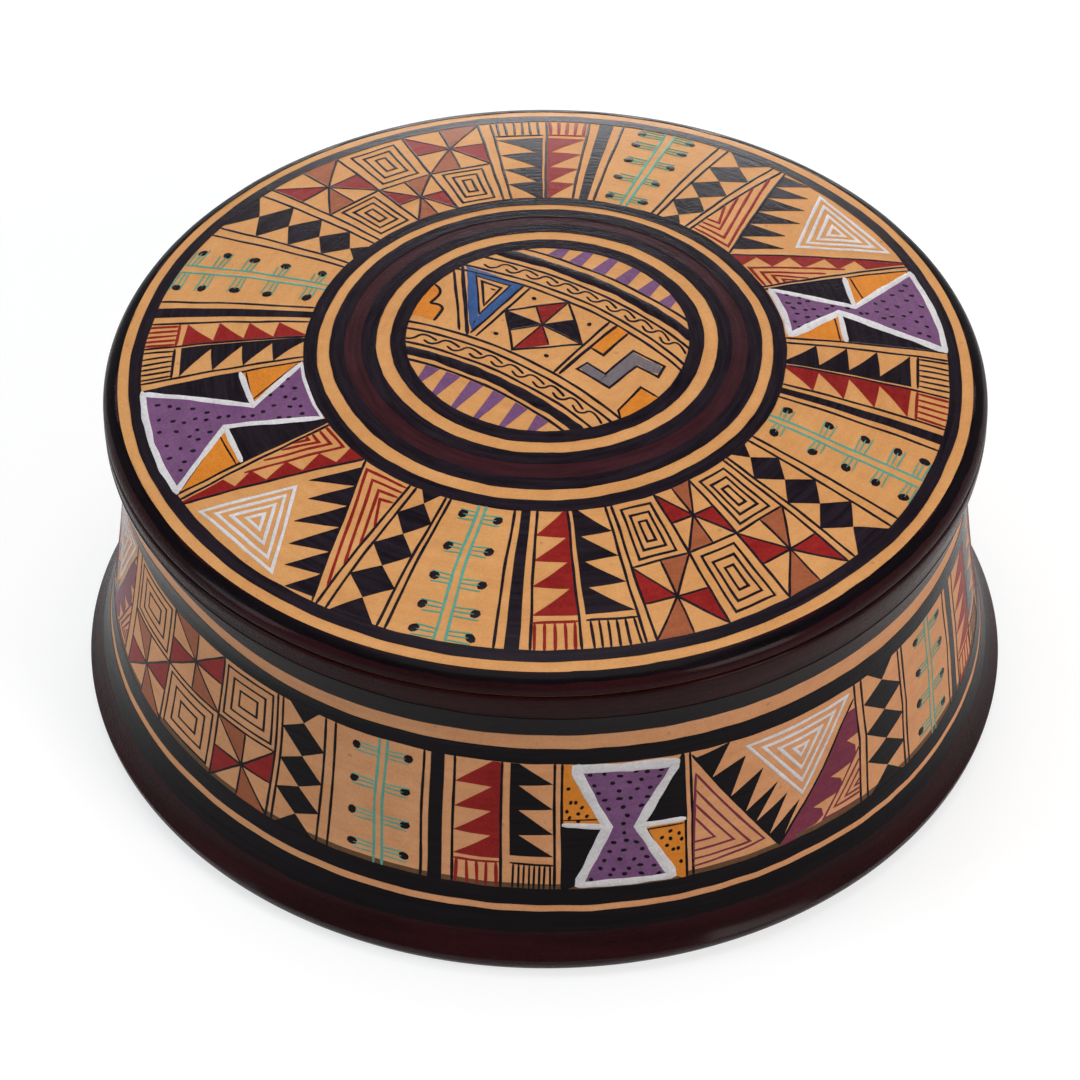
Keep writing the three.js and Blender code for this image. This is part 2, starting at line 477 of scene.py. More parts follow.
def lay_on_lid(plan, lift):
    """Plan x and y stay, the height is the dome's, and the lift goes along the surface's normal."""
    radius = np.hypot(plan[..., 0], plan[..., 1])
    slope = -2 * dome_rise * plan / lid_shoulder ** 2
    steep = np.sqrt(1 + (slope ** 2).sum(-1))
    x = plan[..., 0] - lift * slope[..., 0] / steep
    y = plan[..., 1] - lift * slope[..., 1] / steep
    return np.stack([x, y, dome(radius) + lift / steep], -1)


def lay_on_side(profile):
    """Plan x runs round a side of that profile, in mm at the waist's radius, and y is the height."""
    heights = profile[:, 1]
    slopes = np.gradient(profile[:, 0], heights)

    def lay(plan, lift):
        angle = plan[..., 0] / WALL_PLAN_RADIUS
        slope = np.interp(plan[..., 1], heights, slopes)
        steep = np.sqrt(1 + slope ** 2)
        radius = np.interp(plan[..., 1], heights, profile[:, 0]) + lift / steep
        height = plan[..., 1] - lift * slope / steep
        return np.stack([radius * np.cos(angle), radius * np.sin(angle), height], -1)

    return lay


class Ground:
    """A painted face: how a flat drawing is laid on it, how far apart its films have points across, in mm,
    and the coats put on it so far, by colour."""

    def __init__(self, name, body, lay, step):
        self.name = name
        self.body = body
        self.lay = lay
        self.step = step
        self.coats = {}


wall_side = outside[FOOT_STEPS:FOOT_STEPS + WALL_STEPS + BEAD_STEPS + 1]
lid_ground = Ground("lid", "lid", lay_on_lid, 1.8)
edge_ground = Ground("lid_edge", "lid", lay_on_side(lid_edge[LIP_STEPS:]), 0.2)
wall_ground = Ground("wall", "box", lay_on_side(wall_side), 1.5)


def drift(ground, plan):
    """Where an unsteady hand puts a point: moved by five sine waves of its own place in space."""
    place = ground.lay(plan, 0)
    waves = np.sin(np.einsum("...k,nwk->...nw", place, drift_waves) + drift_phases)
    return plan + waves @ DRIFT


def coat(ground, paint, plan, lift, closed=False):
    """One closed coat of paint from sections: plan is (stations, points round the section, 2), lift fits it.
    Quads join neighbouring sections, and a many-sided face closes each end unless the stations go round."""
    laid = ground.lay(plan, np.broadcast_to(lift, plan.shape[:2]))
    ground.coats.setdefault(paint, []).append((laid, closed))


def film(ground, paint, left, right, level="fill", closed=False):
    """Paint spread between two lines of as many points: each section runs from the left line straight to
    the right one and comes back beneath."""
    along = np.diff(left, axis=0).mean(0) if not closed else left[1] - left[0]
    across = right[0] - left[0] if closed else (right - left).mean(0)
    if across[0] * along[1] - across[1] * along[0] < 0:
        left, right = right, left
    reach = np.hypot(*(right - left).T).max()
    share = np.linspace(0, 1, max(2, int(reach / ground.step) + 2))
    lift = np.repeat([COAT[level], -HIDDEN], len(share))
    share = np.concatenate([share, share[::-1]])[:, None]
    plan = left[:, None] * (1 - share) + right[:, None] * share
    coat(ground, paint, drift(ground, plan), lift, closed)


def divided(points, parts=4):
    """The same broken line with each side cut into that many equal parts."""
    points = np.array(points, float)
    share = np.linspace(0, len(points) - 1, parts * (len(points) - 1) + 1)
    return np.stack([np.interp(share, np.arange(len(points)), points[:, i]) for i in (0, 1)], 1)


def patch(ground, paint, corners):
    """Paint inside three or four corners. With three, the first is a sharp tip, a little blunted."""
    if len(corners) == 3:
        tip, a, b = corners
        corners = [tip + 0.02 * (a - tip), a, b, tip + 0.02 * (b - tip)]
    a, b, c, d = corners
    count = max(3, int(max(math.dist(a, b), math.dist(d, c)) / STATION) + 2)
    film(ground, paint, divided([a, b], count), divided([d, c], count))


def spaced(points, closed=False):
    """The same broken line with more points: each side is cut into equal parts, shorter than a station."""
    points = np.array(points, float)
    ends = np.concatenate([points[1:], points[:1]]) if closed else points[1:]
    sides = []
    for a, b in zip(points, ends):
        count = max(2, int(math.dist(a, b) / STATION) + 2)
        sides.append(a + (b - a) * np.linspace(0, 1, count)[:-1, None])
    return np.concatenate(sides if closed else sides + [points[-1:]])


def rounded(points):
    """Corners cut off twice, each time at a quarter and three quarters of every side."""
    points = np.array(points, float)
    for _ in range(2):
        starts, ends = points[:-1], points[1:]
        cut = np.stack([0.75 * starts + 0.25 * ends, 0.25 * starts + 0.75 * ends], 1).reshape(-1, 2)
        points = np.concatenate([points[:1], cut, points[-1:]])
    return points


def phase():
    """Where a wave starts, at random, in radians."""
    return hand.uniform(0, 6.3)


def stroke(ground, paint, points, width, level="line", closed=False):
    """A brush stroke along a broken line: a low rounded section, mitred at corners, a little uneven in width
    and blunt at its ends. The offset at a point is the two sides' normals over one plus their product."""
    path = drift(ground, spaced(points, closed=closed))
    step = np.roll(path, -1, axis=0) - path
    side = np.stack([-step[:, 1], step[:, 0]], 1) / np.maximum(np.hypot(*step.T), 1e-6)[:, None]
    before = np.roll(side, 1, axis=0)
    if not closed:
        side[-1], before[0] = side[-2], side[0]
    mitre = (side + before) / np.maximum(1 + (side * before).sum(1), 0.4)[:, None]
    far = np.concatenate([[0], np.cumsum(np.hypot(*step.T)[:-1])])
    slow, quick = phase(), phase()
    swell = 1 + 0.1 * np.sin(far / 1.7 + slow) + 0.06 * np.sin(far / 0.6 + quick)
    if not closed:
        from_end = np.minimum(far, far[-1] - far) / (BLUNT_END * width)
        swell = swell * np.sqrt(np.clip(from_end, 0, 1) * 0.75 + 0.25)
    half = (mitre * (swell * width / 2)[:, None])[:, None]
    rim, flat = 1 - min(0.12, 0.12 / width), 1 - min(0.55, 0.3 / width)
    across = np.array([1, rim, flat, -flat, -rim, -1])[:, None]
    lift = COAT[level] * np.array([0, 0.6, 1, 1, 0.6, 0]) - HIDDEN * np.array([1, 0, 0, 0, 0, 1])
    coat(ground, paint, path[:, None] + half * across, lift, closed)


def dot(ground, paint, centre, length, width, lean=0.0, level="dot"):
    """A touch of the brush: eight-sided rings that shrink as they rise, longer than wide and leaning."""
    angle = np.arange(8) * np.pi / 4
    oval = np.stack([length / 2 * np.cos(angle), width / 2 * np.sin(angle)], 1)
    oval *= 1 + 0.12 * np.sin(angle * 2 + phase())[:, None]
    spin = np.array([[math.cos(lean), math.sin(lean)], [-math.sin(lean), math.cos(lean)]])
    rings = np.array([1, 0.95, 0.6])[:, None, None] * (oval @ spin)
    lift = np.array([-HIDDEN, 0.7 * COAT[level], COAT[level]])[:, None] + np.zeros(8)
    coat(ground, paint, drift(ground, np.array(centre, float)) + rings, lift)


class Panel:
    """A field of a painted border. u is the share from its left side to its right as the painter sees it,
    v the share from its inner or upper edge to its outer or lower one; place turns (u, v) into plan mm."""

    def __init__(self, ground, place):
        self.ground = ground
        self.place = place

    def at(self, points):
        return self.place(np.array(points, float))

    def fill(self, paint, corners):
        patch(self.ground, paint, self.at(corners))

    def between(self, base, edge, paint, level="fill"):
        """Paint between two broken lines of as many (u, v) points."""
        film(self.ground, paint, self.at(divided(base, 6)), self.at(divided(edge, 6)), level)

    def line(self, paint, points, width, level="line", closed=False):
        stroke(self.ground, paint, self.at(points), width, level, closed)

    def rule(self, u):
        """A thin black line right down the field."""
        self.line("black", [(u, -0.01), (u, 0.5), (u, 1.01)], THIN)

    def spot(self, paint, centre, length, width, lean=0.0, level="dot"):
        dot(self.ground, paint, self.at(centre), length, width, lean, level)


def ring(ground, paint, start, end, level="band", centre=(0, 0)):
    """A band right round the box, between two radii on the lid or two heights on a side, each a number or
    a formula of the angle. The brush leaves its edges a few hundredths uneven."""
    angle = np.arange(RING_STATIONS) * 2 * np.pi / RING_STATIONS
    edges = []
    for reach in (start, end):
        middle = reach(angle) if callable(reach) else reach
        uneven = middle + sum(RING_WANDER * np.sin(n * angle + phase()) for n in (29, 47, 71))
        if ground is lid_ground:
            edges.append(np.array(centre) + uneven[:, None] * np.stack([np.cos(angle), np.sin(angle)], 1))
        else:
            edges.append(np.stack([angle * WALL_PLAN_RADIUS, uneven], 1))
    film(ground, paint, *edges, level, closed=True)


# Motifs: each border field holds one of eight traditional geometric motifs.
# Widths are in mm, and places are shares of the field.
THIN = 0.42


def diamonds(panel, tops=(0.09, 0.35, 0.605, 0.85), drop=0.0):
    """A chain of black diamonds from edge to edge, with half a diamond at each end. Each right point lies
    lower than the left one by the drop."""
    panel.fill("black", [(0.5, tops[0]), (0.08, -0.03), (0.92, -0.03)])
    for top, end in zip(tops, tops[1:]):
        middle = (top + end) / 2
        left, right = middle - drop / 2, middle + drop / 2
        panel.fill("black", [(0.0, left), (0.5, top), (1.0, right), (0.5, end)])
    panel.fill("black", [(0.5, tops[-1]), (0.0, 1.03), (1.0, 1.03)])


def laces(panel, rows, lines=(0.46, 0.563), dots=(0.26, 0.8)):
    """A turquoise double line laced to black dots on both sides, in rows, by three fine strokes a side."""
    for u in lines:
        panel.line("turquoise", [(u + 0.01, -0.01), (u - 0.01, 0.5), (u + 0.01, 1.01)], 0.4)
    for v in rows:
        for centre, inner in ((dots[0], lines[0] - 0.005), (dots[1], lines[1] + 0.007)):
            v_dot = v + hand.uniform(-0.012, 0.008)
            u_dot = centre + hand.uniform(-0.015, 0.015)
            panel.spot("black", (u_dot, v_dot), hand.uniform(1.35, 1.6), 1.4, hand.uniform(-1, 1))
            for stitch, drop in enumerate((-0.03, 0.004, 0.044)):
                share = 0.1 if stitch == 1 else hand.uniform(-0.25, 0.15)
                far = centre + (inner - centre) * share
                panel.line("turquoise", [(inner, v_dot + 0.8 * drop), (far, v_dot + drop)], 0.24, "fine")


def bars(panel, start=0.05, left=0.32, right=0.7, end=0.97):
    """A broad black bar between two thin lines."""
    for u in (start, end):
        panel.rule(u)
    panel.between([(left, -0.02), (left, 1.02)], [(right, -0.02), (right, 1.02)], "black")


def teeth(panel, paint, side, root, tip, stops, fringe):
    """Saw teeth out of a straight strip, over a line with a fringe of short strokes. The strip runs from
    u = side to u = root, and each tooth slants out to u = tip and has a level end."""
    edge = [point for a, b in zip(stops, stops[1:]) for point in ((root, a + 0.014), (tip, b))]
    panel.between([(side, v) for _, v in edge], edge, paint)
    panel.line(paint, [(tip, 0.815), (side, 0.805)], THIN)
    for u in np.linspace(min(tip, side) + 0.08, max(tip, side) - 0.07, fringe):
        panel.line(paint, [(u, 0.81), (u + hand.uniform(-0.03, 0.02), 1.01)], 2.0 / fringe + 0.08)


LID_TEETH = [-0.02, 0.185, 0.37, 0.56, 0.765]


def red_teeth(panel):
    """Four red teeth that point left, and a black line at their right."""
    if panel.ground is wall_ground:
        teeth(panel, "red", 0.97, 0.79, 0.0, [-0.01, 0.198, 0.395, 0.588, 0.776], 5)
    else:
        teeth(panel, "red", 0.97, 0.88, -0.03, LID_TEETH, 5)
    panel.rule(1.0)


def black_teeth(panel):
    """Four black teeth that point right."""
    if panel.ground is wall_ground:
        teeth(panel, "black", 0.0, 0.19, 0.97, [-0.01, 0.166, 0.363, 0.564, 0.745], 8)
    else:
        teeth(panel, "black", 0.0, 0.15, 0.97, LID_TEETH, 6)


PINWHEEL = [
    ("red", (0, 0), (0, 0.5)), ("red", (1, 0.5), (1, 1)),
    ("brown", (0.5, 0), (1, 0)), ("brown", (0.5, 1), (0, 1)),
]
PINWHEEL_LINES = [((0, 0), (1, 1)), ((1, 0), (0, 1)), ((0.5, 0), (0.5, 1)), ((0, 0.5), (1, 0.5))]


def checker(panel, mirrored):
    """Three columns by two rows: nested rectangles and pinwheels of eight triangles, by turns."""
    if mirrored:
        columns, rows = [0, 0.347, 0.695, 1.0], [0, 0.485, 1.0]
        inset, apart = (0.085, 0.09), (0.128, 0.14)
    else:
        columns, rows = [0, 0.34, 0.655, 1.0], [0, 0.47, 1.0]
        inset, apart = (0.17, 0.1), (0.125, 0.12)
    for i in range(3):
        for j in range(2):
            u0, u1, v0, v1 = columns[i], columns[i + 1], rows[j], rows[j + 1]

            def spot(across, down):
                across = 1 - across if mirrored else across
                return u0 + across * (u1 - u0), v0 + down * (v1 - v0)

            if (i + j) % 2:
                for paint, first, second in PINWHEEL:
                    panel.fill(paint, [spot(0.5, 0.5), spot(*first), spot(*second)])
                for first, second in PINWHEEL_LINES:
                    panel.line("black", [spot(*first), spot(0.5, 0.5), spot(*second)], THIN * 0.9)
            else:
                for k in range(3):
                    a, b = inset[0] + apart[0] * k, inset[1] + apart[1] * k
                    box = [spot(a, b), spot(1 - a, b), spot(1 - a, 1 - b), spot(a, 1 - b)]
                    panel.line("black", box, THIN * 0.95, closed=True)
    for i in range(3):
        panel.line("black", [(columns[i], rows[1]), (columns[i + 1], rows[1])], THIN)
    for u in columns[1:3]:
        panel.rule(u)


CORNER_DOTS = [
    (0.05, 0.2), (0.07, 0.31), (0.11, 0.31), (0.16, 0.35), (0.04, 0.38), (0.13, 0.4), (0.06, 0.43),
    (0.2, 0.42), (0.13, 0.46),
]


def hourglass(panel, left, right, bars_at, widths, dotted):
    """A purple hourglass, dotted and outlined in white, with a white bar from each side of its waist. left
    and right are its three corners on each side, and the widths those of its left side, right side, top,
    bottom and bars. Of the four fields beside it, two facing ones are orange and the others black."""
    (ul, wl, ll), (ur, wr, lr) = left, right
    left_bar, right_bar = bars_at
    panel.fill("orange", [ul, wl, (0.0, left_bar), (0.0, -0.02)])
    panel.fill("black", [wl, ll, (0.0, 1.02), (0.0, left_bar)])
    panel.fill("black", [ur, wr, (1.0, right_bar), (1.0, -0.02)])
    panel.fill("orange", [wr, lr, (1.0, 1.02), (1.0, right_bar)])
    panel.between([ul, ur], [wl, wr], "purple", "line")
    panel.between([wl, wr], [ll, lr], "purple", "line")
    above, below = left_bar - 0.035, right_bar + 0.035
    panel.line("black", [(0.01, above), (wl[0] - 0.07, above), (ul[0], 0.04)], 0.3)
    panel.line("black", [(0.99, below), (wr[0] + 0.07, below), (lr[0], 0.96)], 0.3)
    top = divided([(ul[0] - 0.02, ul[1]), (ur[0] + 0.02, ur[1])])
    bottom = divided([(ll[0] - 0.02, ll[1]), (lr[0] + 0.02, lr[1])])
    for points, width in zip((left, right, top, bottom), widths):
        panel.line("white", points, width, "white")
    panel.line("white", [(0.0, left_bar), wl], widths[4], "white")
    panel.line("white", [(1.0, right_bar), wr], widths[4], "white")
    for v in np.linspace(0.1, 0.92, 13):
        inner = np.interp(v, [p[1] for p in left], [p[0] for p in left]) + 0.1
        outer = np.interp(v, [p[1] for p in right], [p[0] for p in right]) - 0.09
        count = max(1, round((outer - inner) / 0.125))
        row = np.linspace(inner, outer, count + 1) if count > 1 else [(inner + outer) / 2]
        for u in row:
            place = (u + hand.uniform(-0.02, 0.02), v + hand.uniform(-0.018, 0.018))
            panel.spot("black", place, hand.uniform(0.65, 0.95), 0.62, hand.uniform(-0.6, 0.3), "fine")
    if dotted:
        for u, v in CORNER_DOTS:
            panel.spot("black", (u, v), 0.7, 0.55, 1.3)
            panel.spot("black", (1 - u, 1.07 - v), 0.7, 0.6, 1.3)


def spikes(panel, line, stops, tips):
    """Black saw teeth on a slanting line: tooth k stands between two stops on the line and ends in tip k."""
    start, end = panel.at(line)
    base = start + (end - start) * np.array(stops)[:, None]
    for a, b, tip in zip(base, base[1:], panel.at(tips)):
        patch(panel.ground, "black", [tip, a, b])
    panel.line("black", line, THIN)


def nested(panel, corners, gap):
    """A closed white figure drawn four times, each gap mm inside the last: every side moves in by the gap
    and meets its moved neighbours."""
    outline = panel.at(corners)
    area = sum(a[0] * b[1] - a[1] * b[0] for a, b in zip(outline, np.roll(outline, -1, axis=0)))
    along = np.roll(outline, -1, axis=0) - outline
    along /= np.hypot(*along.T)[:, None]
    inward = np.stack([-along[:, 1], along[:, 0]], 1) * np.sign(area)
    last = np.roll(inward, 1, axis=0)
    corner_move = (inward + last) / (1 + (inward * last).sum(1))[:, None]
    for k in range(4):
        stroke(panel.ground, "white", outline + corner_move * gap * k, 0.5, "white", closed=True)


def lid_wedges(panel):
    """Two slanting lines split the field: red saw and nested angles, a white nested triangle under black
    spikes, and red nested angles."""
    first, second = [(0.515, -0.01), (0.034, 1.0)], [(0.52, -0.01), (0.975, 1.0)]
    saw = [
        (0.33, -0.01), (0.375, 0.13), (0.22, 0.165), (0.27, 0.32), (0.13, 0.35), (0.175, 0.525),
        (0.055, 0.56), (0.105, 0.70), (0.017, 0.73), (0.017, 1.0),
    ]
    start, end = panel.at(first)
    on_line = start + (end - start) * np.array([v for _, v in saw])[:, None]
    film(panel.ground, "red", divided(on_line), divided(panel.at(saw)))
    for u, v, end_u, end_v in (
        (0.28, 0.025, 0.045, 0.6), (0.185, 0.07, 0.03, 0.46),
        (0.115, 0.118, 0.015, 0.33), (0.045, 0.16, 0.01, 0.25),
    ):
        panel.line("red", [(0.0, v), (u, v), (end_u, end_v)], 0.45)
    panel.line("black", first, THIN)
    tips = [(0.369, 0.345), (0.485, 0.44), (0.548, 0.617), (0.644, 0.75), (0.721, 0.876), (0.807, 0.995)]
    spikes(panel, second, [0.06, 0.20, 0.35, 0.50, 0.67, 0.82, 0.97], tips)
    nested(panel, [(0.352, 0.43), (0.133, 0.955), (0.70, 0.955)], 1.1)
    for u, v, depth in ((0.61, 0.045, 0.87), (0.72, 0.09, 0.69), (0.825, 0.135, 0.53), (0.885, 0.185, 0.38)):
        panel.line("red", [(0.985, v - 0.015), (u, v), (0.995, depth)], 0.45)


def wall_wedges(panel):
    """The wall's version: plum nested triangles, black spikes, white nested triangles, and a plum saw
    along the second line with nested plum angles."""
    first = [(0.01, 0.03), (0.48, 0.985)]
    second = [(0.985, 0.117), (0.872, 0.295), (0.744, 0.538), (0.623, 0.745), (0.49, 0.964)]
    for corners in (
        [(0.024, 0.19), (0.387, 0.885), (0.0, 0.935)],
        [(0.02, 0.32), (0.307, 0.86), (0.0, 0.877)],
        [(0.015, 0.435), (0.217, 0.80), (0.0, 0.81)],
        [(0.01, 0.54), (0.114, 0.735), (0.0, 0.74)],
    ):
        panel.line("plum", corners, 0.36, closed=True)
    stops = [0.03, 0.23, 0.44, 0.61, 0.73, 0.88, 1.0]
    tips = [(0.224, 0.0), (0.30, 0.15), (0.39, 0.30), (0.47, 0.46), (0.523, 0.59), (0.598, 0.69)]
    spikes(panel, first, stops, tips)
    nested(panel, [(0.315, 0.08), (0.943, 0.06), (0.611, 0.645)], 1.25)
    saw = [
        (1.0, 0.2), (1.0, 0.42), (0.91, 0.435), (0.965, 0.51), (0.965, 0.58), (0.93, 0.63), (0.79, 0.645),
        (0.855, 0.70), (0.87, 0.76), (0.83, 0.80), (0.68, 0.815), (0.735, 0.86), (0.745, 0.92),
        (0.7, 0.955), (0.56, 0.965), (0.6, 1.0),
    ]
    line_u, line_v = zip(*second)
    on_line = [(np.interp(v, line_v, line_u), v) for _, v in saw]
    panel.between(on_line, saw, "plum")
    angles = [(0.747, 0.955, 0.53), (0.818, 0.905, 0.625), (0.89, 0.872, 0.705), (0.955, 0.838, 0.79)]
    for u, v, top in angles:
        panel.line("plum", [(1.0, top), (u, v), (1.0, v + 0.005)], 0.36)
    panel.line("black", second, THIN)


# Lid border: one ring of fields between two black bands, in two unequal turns of the same order.
# Angles are in degrees, counter-clockwise from the right, as measured on the lid.
LID_BORDER = (33.1, 55.55)
lid_fields = [
    ("F", -121.2, -113.5), ("A", -112.3, -97.3), ("B", -97.3, -91.8), ("C", -91.8, -85.0),
    ("D", -84.0, -76.3), ("E", -74.9, -43.7), ("F", -42.4, -34.3), ("A", -32.5, -17.2), ("B", -17.2, -12.2),
    ("C", -12.0, -5.6),
    ("D", -5.0, 2.6), ("G", 4.3, 23.2), ("H", 24.2, 52.5), ("F", 54.0, 61.8), ("A", 63.4, 78.0),
    ("B", 78.0, 83.6), ("C", 83.8, 90.0), ("D", 90.7, 98.4), ("E", 100.3, 134.6), ("F", 136.5, 146.0),
    ("A", 147.9, 164.5), ("B", 164.5, 170.2), ("C", 170.5, 175.5), ("D", 176.0, 183.0), ("J", 184.6, 207.4),
    ("H", 208.5, 237.2),
]


def lid_panel(left, right):
    """u goes round the lid from the left angle to the right one, and v outwards between the two bands."""
    def place(share):
        angle = np.radians(left + (right - left) * share[..., 0])
        radius = LID_BORDER[0] + (LID_BORDER[1] - LID_BORDER[0]) * share[..., 1]
        return np.stack([radius * np.cos(angle), radius * np.sin(angle)], -1)

    return Panel(lid_ground, place)


lid_motifs = {
    "A": lambda panel: laces(panel, [0.09, 0.345, 0.575, 0.78, 0.95]),
    "B": bars,
    "C": red_teeth,
    "D": black_teeth,
    "E": lambda panel: checker(panel, mirrored=False),
    "F": diamonds,
    "G": lambda panel: hourglass(
        panel, [(0.045, 0.03), (0.47, 0.385), (0.015, 0.995)], [(0.97, 0.03), (0.55, 0.5), (0.965, 0.995)],
        (0.375, 0.55), (1.3, 1.0, 1.0, 1.0, 0.85), dotted=False,
    ),
    "J": lambda panel: hourglass(
        panel, [(0.03, 0.012), (0.45, 0.36), (0.02, 0.995)], [(0.915, 0.012), (0.58, 0.56), (0.98, 0.995)],
        (0.39, 0.575), (0.95, 0.95, 0.5, 1.0, 0.8), dotted=False,
    ),
    "H": lid_wedges,
}


def draw_fields(fields, make_panel, motifs):
    """Every field's motif, and a thin line on each of its sides that the motif doesn't draw itself."""
    ruled = {"A": (0,), "B": (), "C": (), "D": (1,)}
    for kind, left, right in fields:
        panel = make_panel(left, right)
        motifs[kind](panel)
        for u in ruled.get(kind, (0, 1)):
            panel.rule(u)


draw_fields(lid_fields, lid_panel, lid_motifs)

MIDDLE_SHIFT = (0.2, 0.65)
BORDER_SHIFT = (0.1, 0.3)
ring(lid_ground, "black", 19.4, 21.5, centre=MIDDLE_SHIFT)
ring(lid_ground, "black", 23.4, 25.4, centre=MIDDLE_SHIFT)
ring(lid_ground, "maroon", 24.6, 28.2, "ground", centre=BORDER_SHIFT)
ring(lid_ground, "black", 27.6, 29.6, centre=BORDER_SHIFT)
ring(lid_ground, "black", 31.2, 33.1)
ring(lid_ground, "black", 55.55, 57.3)
ring(edge_ground, "black", 50.8, 51.46)

# Medallion: a disc in the middle of the lid, crossed by bowed bands that fall to the right at 35 degrees.
# p runs along the bands and q across them, in mm from the disc's middle.
BAND_FALL = math.radians(35)
BAND_BOW = 0.007


def band_place(points):
    """(p, q) as plan x, y: p along the fall, q across it less the bow times p squared."""
    p, q = points[..., 0], points[..., 1] - BAND_BOW * points[..., 0] ** 2
    x = p * math.cos(BAND_FALL) + q * math.sin(BAND_FALL) + MIDDLE_SHIFT[0]
    y = q * math.cos(BAND_FALL) - p * math.sin(BAND_FALL) + MIDDLE_SHIFT[1]
    return np.stack([x, y], -1)


bands = Panel(lid_ground, band_place)
disc = Panel(lid_ground, lambda points: points + np.array(MIDDLE_SHIFT))
DISC = 19.6


def chord(q, width, level="line"):
    """A line right across the disc at height q, ended under the black ring round it."""
    track = np.stack([np.linspace(-22, 22, 45), np.full(45, q)], 1)
    on_disc = np.hypot(*(band_place(track) - MIDDLE_SHIFT).T) < DISC + 1.2
    bands.line("black", track[on_disc], width, level)


for q in (-13.4, -10.1, -7.25, -5.85, 7.55, 8.7, 11.45, 15.3):
    chord(q, 0.45)
chord(-11.75, 1.75)
chord(13.35, 1.85)

curl = np.array([(0, -0.25), (1.2, -0.8), (2.1, -0.3), (2.4, 0.6), (3.2, 0.85), (4.6, 0.45), (5.2, 0.2)])
for middle, pitch, start in ((-8.7, 3.5, -17.0), (10.1, 3.2, -16.2)):
    for k in range(10):
        bent = rounded(curl * (pitch / 3.5, 1) + (start + k * pitch, middle))
        if np.hypot(*(band_place(bent) - MIDDLE_SHIFT).T).max() < DISC + 0.9:
            bands.line("black", bent, 0.38)

for foot, tip_half in ((-13.7, 0.33), (15.3, 0.6)):
    for p in (-9.0, -5.8, -2.1, 1.7, 5.5, 9.2):
        end = math.copysign(math.sqrt(DISC ** 2 - p ** 2) + 0.4, foot) + BAND_BOW * p ** 2
        bands.fill("purple", [(p - 1.05, foot), (p - tip_half, end), (p + tip_half, end), (p + 1.05, foot)])

# Left of the middle: an orange scallop on the rim, two upright lines and a blue triangle frame.
scallop = rounded([
    (-15.6, 11.6), (-14.9, 10.6), (-14.8, 9.4), (-15.6, 8.2), (-16.3, 7.4), (-15.0, 7.0), (-14.4, 6.1),
    (-14.9, 5.0), (-15.7, 3.5),
])
rim_angle = np.linspace(math.radians(143), math.radians(164), len(scallop))
rim_side = DISC * np.stack([np.cos(rim_angle), np.sin(rim_angle)], 1)
film(lid_ground, "orange", disc.at(rim_side), disc.at(scallop))
disc.line("black", scallop, 0.5)
disc.line("black", [(-12.9, 14.6), (-12.5, 8.0), (-12.1, 1.2)], THIN)
disc.line("black", [(-11.7, 15.6), (-11.4, 8.0), (-11.0, 0.2)], 0.6)
disc.line("blue", [(-10.4, 14.2), (-4.1, 10.8), (-10.15, 2.2)], 1.45, "fill", closed=True)
disc.line("black", [(-9.75, 13.1), (-5.0, 10.75), (-9.4, 4.6)], 0.3, closed=True)
disc.line("black", [(-9.0, 11.9), (-6.3, 10.3), (-8.75, 6.4)], 0.38, closed=True)
disc.line("black", [(-7.8, 10.2), (-7.1, 9.8)], 0.35)
disc.line("black", [(-3.0, 10.9), (-6.8, 5.7), (-10.6, 0.5)], THIN)
disc.line("black", [(-2.1, 10.3), (-6.0, 5.0), (-9.8, -0.2)], THIN)

# Middle: a pinwheel in a leaning square, with a dot in each corner of its field.
square = np.array([(-5.7, 5.1), (3.0, 7.0), (4.8, -2.1), (-4.6, -3.3)])
hub = (-0.6, 2.0)
mids = np.array([(-1.5, 6.1), (3.6, 3.0), (0.3, -2.2), (-5.1, 0.9)])
for paint, side, corner in (("red", 0, 1), ("red", 2, 3), ("black", 1, 2), ("black", 3, 0)):
    disc.fill(paint, [hub, mids[side], square[corner]])
disc.line("black", square, THIN, closed=True)
for end in (*square, *mids):
    disc.line("black", [hub, end], 0.34)
for place in ((-1.7, 7.7), (5.8, 2.1), (-7.0, 0.2), (0.05, -4.5)):
    disc.spot("black", place, 0.75, 0.7)

# Right: two slanting lines, two orange blocks and a grey stepped fret between them.
disc.line("black", [(8.6, 2.8), (4.8, -2.6), (0.9, -8.0)], THIN)
disc.line("black", [(9.6, 2.1), (5.7, -3.0), (1.7, -8.2)], 0.55)
disc.fill("orange", [(9.7, 1.8), (6.1, -2.8), (7.8, -4.2), (11.2, 0.6)])
disc.line("black", [(6.1, -2.8), (7.8, -4.2), (11.2, 0.6)], 0.45)
fret = [(4.9, -6.5), (8.25, -9.3), (12.0, -4.65), (15.55, -7.15)]
disc.line("grey", fret, 2.0, "fill")
fret_outline = [
    (4.2, -7.2), (5.6, -5.9), (8.0, -8.0), (11.8, -3.1), (16.0, -6.1), (15.1, -8.2), (12.3, -6.2),
    (8.5, -10.7),
]
disc.line("black", fret_outline, 0.4, closed=True)
block_left = divided([(9.6, -15.1), (12.7, -10.5)], 7)
block_right = divided([(10.2, -16.9), (15.4, -12.4)], 7)
film(lid_ground, "orange", disc.at(block_left), disc.at(block_right))
disc.line("black", [(9.9, -16.5), (9.6, -15.1), (12.7, -10.5), (15.0, -12.3)], 0.42)

# Wall border: the same motifs between two black bands, with a cream line above and below.
# The order comes twice round the wall, so the fields are drawn for one half and again half a turn on.
def tilted(middle, tilt, lift=0.0):
    """The height of a line round the wall: a middle, less the tilt times the angle's cosine, plus a lift
    that is full at -150 degrees and gone 30 degrees away."""
    def height(angle):
        bell = np.exp(25 * (np.cos(angle + math.radians(150)) - 1))
        return middle - tilt * np.cos(angle) + lift * bell

    return height


